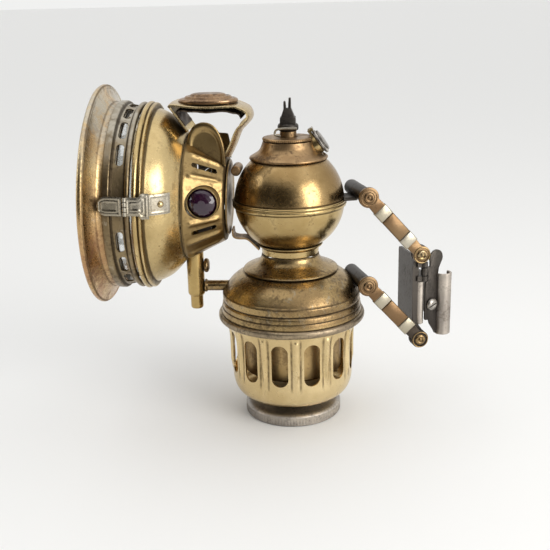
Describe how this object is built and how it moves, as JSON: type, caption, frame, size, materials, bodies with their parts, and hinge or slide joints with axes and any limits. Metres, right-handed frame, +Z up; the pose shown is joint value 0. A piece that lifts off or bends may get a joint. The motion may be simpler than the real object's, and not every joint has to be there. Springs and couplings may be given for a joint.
{
  "type": "carbide bicycle lamp",
  "caption": "Acetylene cycle lamp: bell-fronted vented head beside a water-over-carbide generator, with a screw foot and a parallel-link clamp bracket.",
  "frame": {"origin": "centre of the foot knob's flat underside, on the generator's axis", "axes": "+Z up along the generator's axis, -X the way the lamp shines, +X towards the cycle bracket"},
  "size_m": [0.165, 0.1014, 0.1596],
  "materials": {
    "aged_brass": "tarnished, soft shine",
    "bright_brass": "rubbed bright",
    "nickel": "worn nickel plate",
    "dark_iron": "blackened",
    "grey_iron": "dull grey",
    "ruby_glass": "faceted, nearly black purple",
    "green_glass": "faceted, dark green",
    "clear_glass": "clear",
    "soapstone": "matt stone",
    "rubber": "matt"
  },
  "bodies": {
    "lamp": {"back_plate": "aged_brass", "chimney_cheek_far": "aged_brass", "chimney_cheek_near": "aged_brass", "cleaning_plug": "aged_brass", "filler_neck": "aged_brass", "gas_pipe": "aged_brass", "gasket_seat": "aged_brass", "generator_dome": "aged_brass", "head_drum": "aged_brass", "hood_dome": "aged_brass", "jewel_bezel_far": "aged_brass", "jewel_bezel_near": "aged_brass", "neck_collar": "aged_brass", "neck_skirt": "aged_brass", "rear_cone": "aged_brass", "tank_collar": "aged_brass", "tank_lower_bowl": "aged_brass", "tank_top_plate": "aged_brass", "tank_upper_bowl": "aged_brass", "valve_guide": "aged_brass", "burner_tube": "bright_brass", "carbide_cage": "bright_brass", "chimney_hood": "bright_brass", "drip_tube": "bright_brass", "tank_seam_band": "bright_brass", "catch_plate": "nickel", "drum_leaf": "nickel", "reflector": "nickel", "head_hook": "dark_iron", "head_strap": "dark_iron", "hood_deflector": "dark_iron", "locking_ring": "grey_iron", "lower_barrel": "grey_iron", "upper_barrel": "grey_iron", "jewel_near": "ruby_glass", "jewel_far": "green_glass", "twin_jet_burner": "soapstone", "rubber_gasket": "rubber"},
    "front_door": {"bell_flare": "aged_brass", "vent_bezel": "aged_brass", "lens_glass": "clear_glass", "lens_ring": "nickel", "door_leaf": "nickel", "latch_leaf": "nickel"},
    "latch": {"latch_tongue": "nickel"},
    "filler_lid": {"filler_cap": "aged_brass"},
    "water_valve": {"valve_stem": "dark_iron", "pointer_wire": "nickel"},
    "carriage": {"carbide_canister": "aged_brass", "pressure_plate": "grey_iron"},
    "foot": {"foot_knob": "grey_iron", "clamp_spindle": "grey_iron"},
    "upper_arm": {"upper_link": "aged_brass"},
    "lower_arm": {"lower_link": "aged_brass"},
    "clamp": {"clamp_frame": "dark_iron", "jaw_pad": "nickel"},
    "jaw": {"outer_jaw": "dark_iron"},
    "jaw_screw": {"clamp_screw": "nickel"}
  },
  "joints": [
    {"name": "door_swing", "type": "hinge", "parent": "lamp", "child": "front_door", "pos_m": [-0.06589, 0.045, 0.10826], "axis": [-0.0349, 0, -0.9994], "range_deg": [0, 110]},
    {"name": "latch_swing", "type": "hinge", "parent": "front_door", "child": "latch", "pos_m": [-0.06759, -0.0453, 0.10831], "axis": [-0.0349, 0, -0.9994], "range_deg": [0, 120]},
    {"name": "lid_swing", "type": "hinge", "parent": "lamp", "child": "filler_lid", "pos_m": [0.01057, 0, 0.13788], "axis": [0, -1, 0], "range_deg": [0, 110]},
    {"name": "valve_turn", "type": "hinge", "parent": "lamp", "child": "water_valve", "pos_m": [0, 0, 0.14], "axis": [0, 0, 1], "range_deg": [0, 720]},
    {"name": "clamp_lift", "type": "slide", "parent": "lamp", "child": "carriage", "axis": [0, 0, 1], "range_m": [-0.006, 0]},
    {"name": "foot_turn", "type": "hinge", "parent": "carriage", "child": "foot", "pos_m": [0, 0, 0.005], "axis": [0, 0, 1], "range_deg": [-1090, 0]},
    {"name": "upper_arm_swing", "type": "hinge", "parent": "lamp", "child": "upper_arm", "pos_m": [0.0323, -0.0007, 0.109], "axis": [-0.2756, 0.9613, 0], "range_deg": [-25, 20]},
    {"name": "lower_arm_swing", "type": "hinge", "parent": "lamp", "child": "lower_arm", "pos_m": [0.0323, -0.0007, 0.0674], "axis": [-0.2756, 0.9613, 0], "range_deg": [-26, 21]},
    {"name": "clamp_level", "type": "hinge", "parent": "upper_arm", "child": "clamp", "pos_m": [0.0571, 0.00641, 0.0803], "axis": [-0.2756, 0.9613, 0], "range_deg": [-21, 26]},
    {"name": "jaw_swing", "type": "hinge", "parent": "clamp", "child": "jaw", "pos_m": [0.06277, -0.00465, 0.0715], "axis": [0, 0, -1], "range_deg": [0, 40]},
    {"name": "jaw_screw_turn", "type": "hinge", "parent": "jaw", "child": "jaw_screw", "pos_m": [0.06614, -0.00225, 0.0547], "axis": [0.5807, -0.8141, 0], "range_deg": [0, 360]}
  ],
  "couplings": [
    {"joint": "foot_turn", "follows": "clamp_lift", "rad_per_m": 3141.6},
    {"joint": "lower_arm_swing", "follows": "upper_arm_swing", "ratio": 1},
    {"joint": "clamp_level", "follows": "upper_arm_swing", "ratio": -1}
  ]
}
